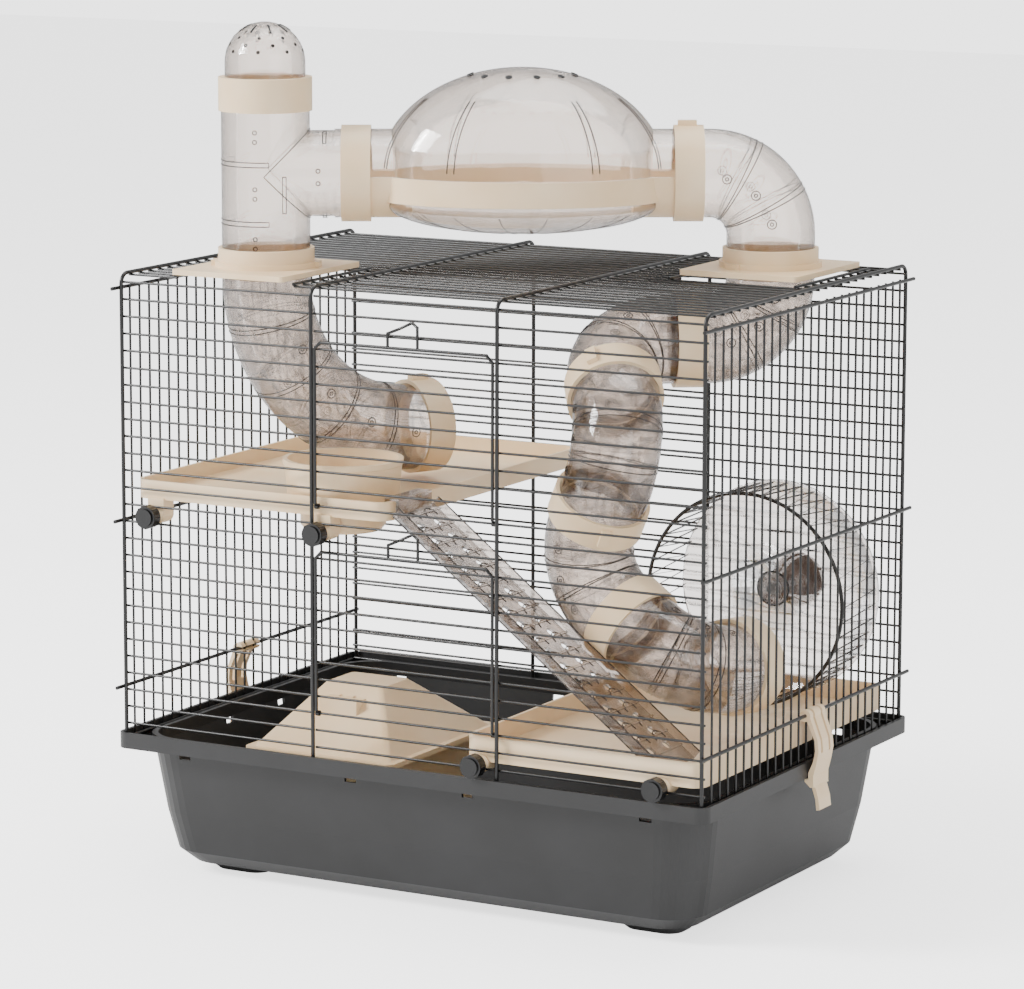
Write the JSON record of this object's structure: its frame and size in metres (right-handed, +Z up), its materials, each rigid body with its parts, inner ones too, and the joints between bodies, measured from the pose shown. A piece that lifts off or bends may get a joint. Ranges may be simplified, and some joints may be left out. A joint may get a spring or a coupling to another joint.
{
  "type": "hamster cage",
  "caption": "Two-storey wire small-animal cage on a moulded tray, with shelves, ramp, running wheel, house, bowl, climbing tubes and a roof-top playroom.",
  "frame": {"origin": "middle of the footprint, on the surface that the tray's feet rest on", "axes": "+X to the right seen from the doors, +Y to the back, +Z up"},
  "size_m": [0.5172, 0.363, 0.6493],
  "materials": {
    "black_enamel_wire": "gloss black enamel over steel wire",
    "anthracite_tray": "satin moulded anthracite",
    "black_knob": "moulded black",
    "zinc_steel": "zinc plated",
    "brown_bracket": "moulded brown",
    "clear_ramp": "clear smoke, moulded",
    "clear_wheel": "clear smoke, moulded",
    "clear_smoke_tube": "clear smoke, moulded",
    "cream_plastic": "soft gloss cream"
  },
  "bodies": {
    "cage": {"base_tray": "anthracite_tray", "front_grille_left": "black_enamel_wire", "front_grille_right": "black_enamel_wire", "front_grille_centre": "black_enamel_wire", "back_grille": "black_enamel_wire", "left_side_panel": "black_enamel_wire", "right_side_panel": "black_enamel_wire", "roof_grille_left": "black_enamel_wire", "roof_grille_centre": "black_enamel_wire", "roof_grille_right": "black_enamel_wire", "upper_shelf": "cream_plastic", "lower_shelf": "cream_plastic", "ramp": "clear_ramp", "house_walls": "cream_plastic", "wheel_hub_cap": "clear_wheel", "wheel_axle": "zinc_steel", "wheel_bracket": "brown_bracket", "wheel_nut": "black_knob", "left_roof_flange": "cream_plastic", "right_roof_flange": "cream_plastic", "entry_tee": "clear_smoke_tube", "tee_top_ring": "cream_plastic", "left_connector_ring": "cream_plastic", "right_connector_ring": "cream_plastic", "dome_cover": "clear_smoke_tube", "dome_band": "cream_plastic", "dome_dish": "clear_smoke_tube", "outer_elbow": "clear_smoke_tube", "left_inner_elbow": "clear_smoke_tube", "left_exit_ring": "cream_plastic", "chain_elbow_1": "clear_smoke_tube", "chain_elbow_2": "clear_smoke_tube", "chain_elbow_3": "clear_smoke_tube", "chain_elbow_4": "clear_smoke_tube", "chain_elbow_5": "clear_smoke_tube", "chain_ring_1": "cream_plastic", "chain_ring_2": "cream_plastic", "chain_ring_3": "cream_plastic", "chain_ring_4": "cream_plastic", "chain_exit_ring": "cream_plastic"},
    "upper_door": {"upper_door": "black_enamel_wire"},
    "lower_door": {"lower_door": "black_enamel_wire"},
    "left_clip": {"left_clip": "cream_plastic"},
    "right_clip": {"right_clip": "cream_plastic"},
    "upper_knob_left": {"upper_knob_left": "black_knob", "upper_screw_left": "zinc_steel"},
    "upper_knob_right": {"upper_knob_right": "black_knob", "upper_screw_right": "zinc_steel"},
    "lower_knob_left": {"lower_knob_left": "black_knob", "lower_screw_left": "zinc_steel"},
    "lower_knob_right": {"lower_knob_right": "black_knob", "lower_screw_right": "zinc_steel"},
    "food_bowl": {"food_bowl": "cream_plastic"},
    "house_roof": {"house_roof": "cream_plastic"},
    "wheel": {"wheel_drum": "clear_wheel"},
    "vent_cap": {"vent_cap": "clear_smoke_tube"}
  },
  "joints": [
    {"name": "upper_door_hinge", "type": "hinge", "parent": "cage", "child": "upper_door", "pos_m": [0, -0.1669, 0.29996], "axis": [1, 0, 0], "range_deg": [0, 110]},
    {"name": "lower_door_hinge", "type": "hinge", "parent": "cage", "child": "lower_door", "pos_m": [0, -0.1669, 0.14441], "axis": [1, 0, 0], "range_deg": [0, 110]},
    {"name": "left_clip_hinge", "type": "hinge", "parent": "cage", "child": "left_clip", "pos_m": [-0.2472, 0.0065, 0.1465], "axis": [0, 1, 0], "range_deg": [0, 100]},
    {"name": "right_clip_hinge", "type": "hinge", "parent": "cage", "child": "right_clip", "pos_m": [0.2472, 0.0065, 0.1465], "axis": [0, -1, 0], "range_deg": [0, 100]},
    {"name": "wheel_spin", "type": "hinge", "parent": "cage", "child": "wheel", "pos_m": [0.1593, 0.101, 0.21242], "axis": [0, 1, 0], "continuous": true},
    {"name": "upper_knob_left_turn", "type": "hinge", "parent": "cage", "child": "upper_knob_left", "pos_m": [-0.218, -0.17, 0.28052], "axis": [0, 1, 0], "continuous": true},
    {"name": "upper_knob_right_turn", "type": "hinge", "parent": "cage", "child": "upper_knob_right", "pos_m": [-0.0716, -0.17, 0.28052], "axis": [0, 1, 0], "continuous": true},
    {"name": "lower_knob_left_turn", "type": "hinge", "parent": "cage", "child": "lower_knob_left", "pos_m": [0.062, -0.17, 0.12168], "axis": [0, 1, 0], "continuous": true},
    {"name": "lower_knob_right_turn", "type": "hinge", "parent": "cage", "child": "lower_knob_right", "pos_m": [0.21, -0.17, 0.12168], "axis": [0, 1, 0], "continuous": true},
    {"name": "food_bowl_turn", "type": "hinge", "parent": "cage", "child": "food_bowl", "pos_m": [-0.082, -0.1175, 0.3], "axis": [0, 0, 1], "continuous": true},
    {"name": "house_roof_lift", "type": "slide", "parent": "cage", "child": "house_roof", "axis": [0, 0, 1], "range_m": [0, 0.08]},
    {"name": "vent_cap_twist", "type": "hinge", "parent": "cage", "child": "vent_cap", "pos_m": [-0.151, -0.113, 0.6], "axis": [0, 0, 1], "continuous": true}
  ]
}
